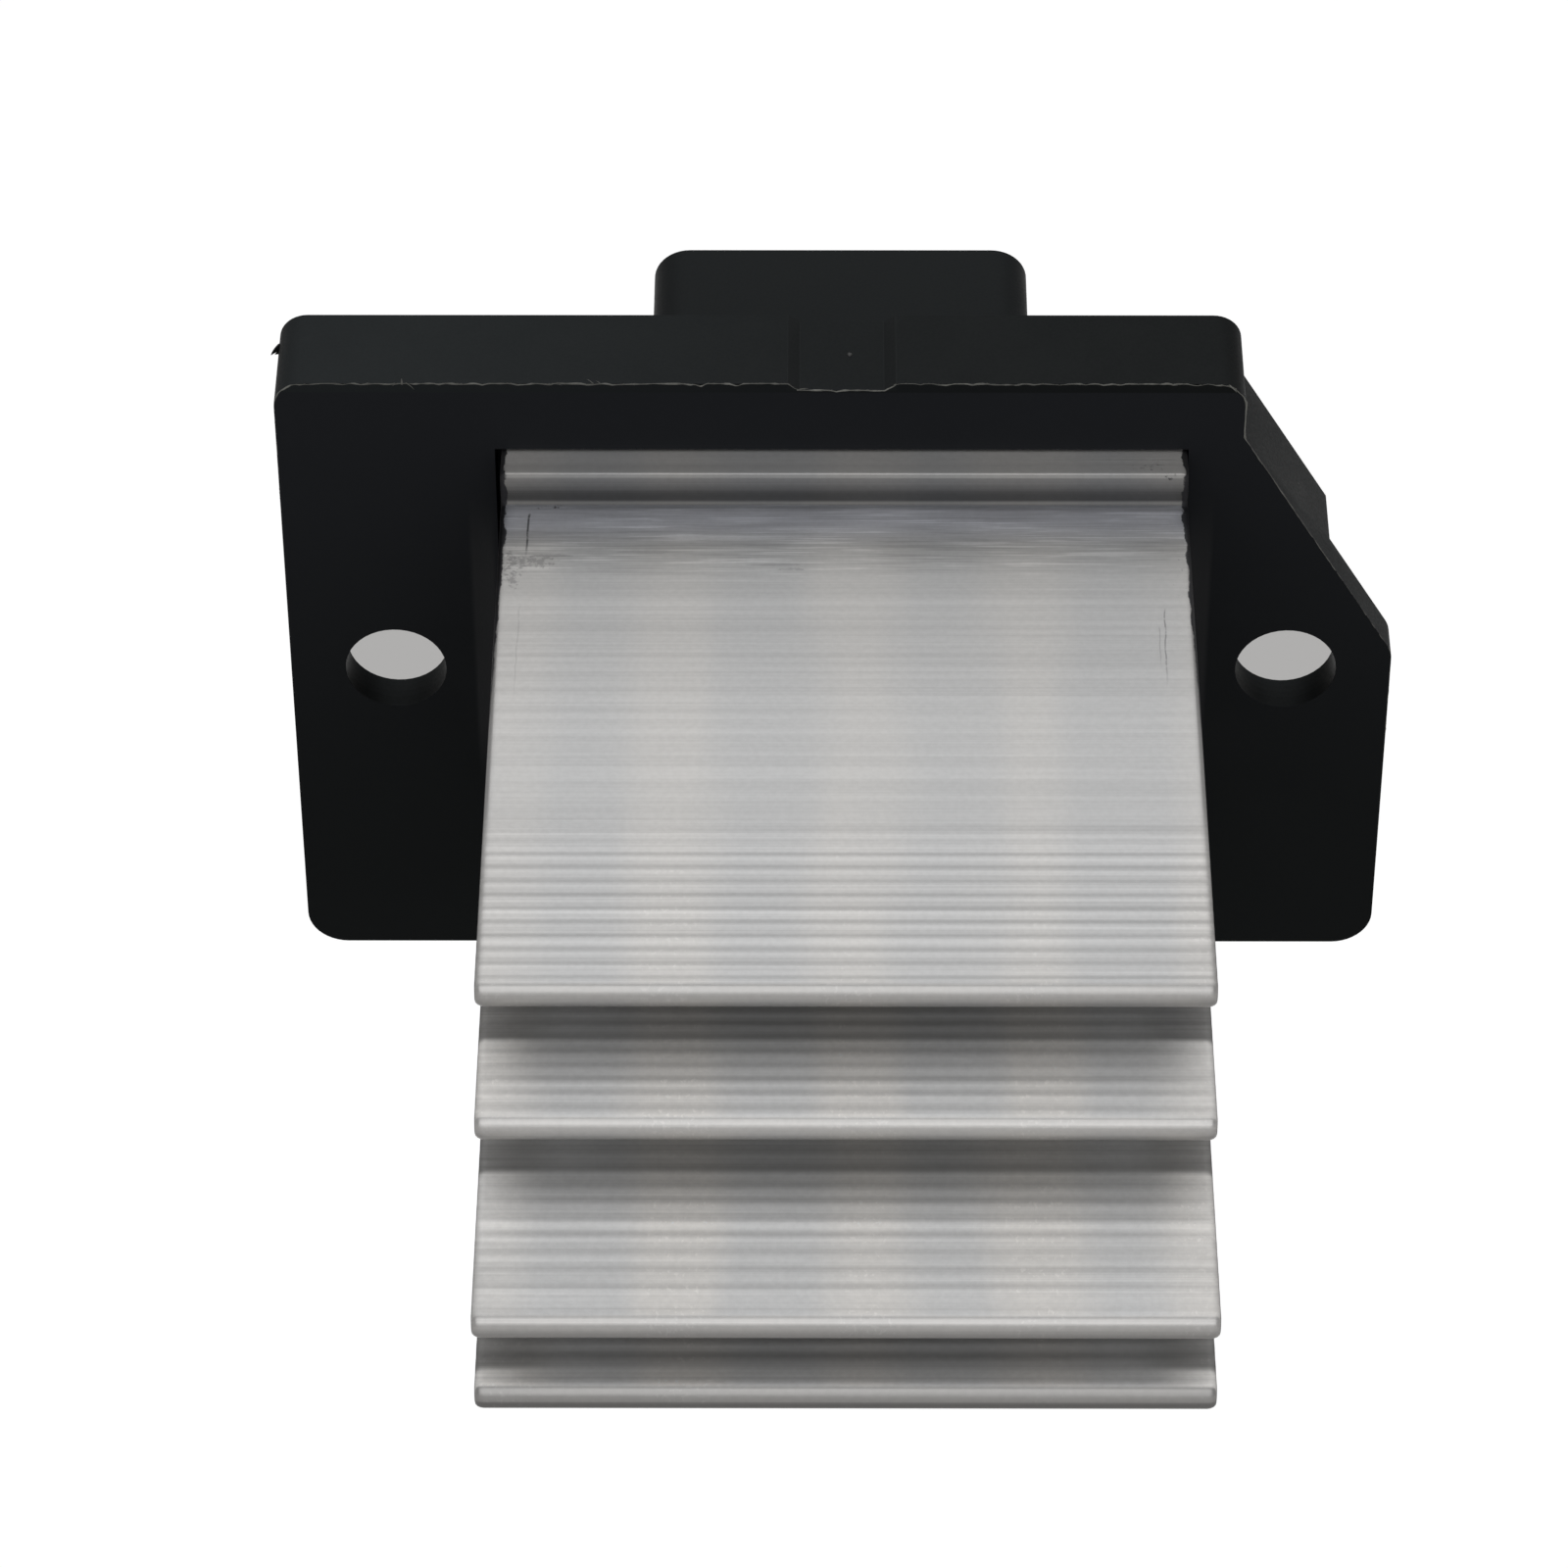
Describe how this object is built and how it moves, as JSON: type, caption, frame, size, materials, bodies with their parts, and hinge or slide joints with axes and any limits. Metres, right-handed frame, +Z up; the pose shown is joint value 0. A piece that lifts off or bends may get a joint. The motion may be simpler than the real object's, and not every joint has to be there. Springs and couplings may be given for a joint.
{
  "type": "cooling fan resistor",
  "caption": "Fan speed resistor module: ribbed aluminium heat sink fins on a black moulded screw flange with a cut corner, plug socket and control circuit behind.",
  "frame": {"origin": "midway between the two screw holes, on the flange's front face", "axes": "+X along the flange towards the cut corner's side, -Y the way the heat sink's fins point out of the front face, +Y towards the plug socket's mouth, +Z up the flange"},
  "size_m": [0.0654, 0.082, 0.044],
  "materials": {
    "black_plastic": "fine-grained moulded black plastic, satin",
    "extruded_aluminium": "plain mill finish with die lines along the extrusion",
    "screw_steel": "zinc plated",
    "tinned_brass": "tin plated, satin",
    "board_laminate": "green lacquered glass laminate",
    "epoxy": "moulded black epoxy, matt",
    "pad_silicone": "grey silicone sheet",
    "bush_plastic": "natural white plastic",
    "resistor_ceramic": "glazed black top on a ceramic chip",
    "capacitor_ceramic": "tan fired ceramic"
  },
  "bodies": {
    "root": {"housing": "black_plastic", "heat_sink": "extruded_aluminium", "heat_sink_screws": "screw_steel", "terminal_motor": "tinned_brass", "terminal_ground": "tinned_brass", "terminal_control": "tinned_brass", "terminal_sense": "tinned_brass", "circuit_board": "board_laminate", "transistor_body": "epoxy", "transistor_lead_frame": "tinned_brass", "thermal_pad": "pad_silicone", "transistor_screw": "screw_steel", "insulating_bush": "bush_plastic", "amplifier_body": "epoxy", "amplifier_leads": "tinned_brass", "gate_resistor": "resistor_ceramic", "pull_down_resistor": "resistor_ceramic", "feedback_resistor": "resistor_ceramic", "filter_capacitor": "capacitor_ceramic", "bypass_capacitor": "capacitor_ceramic", "clamp_diode": "epoxy"}
  },
  "joints": []
}
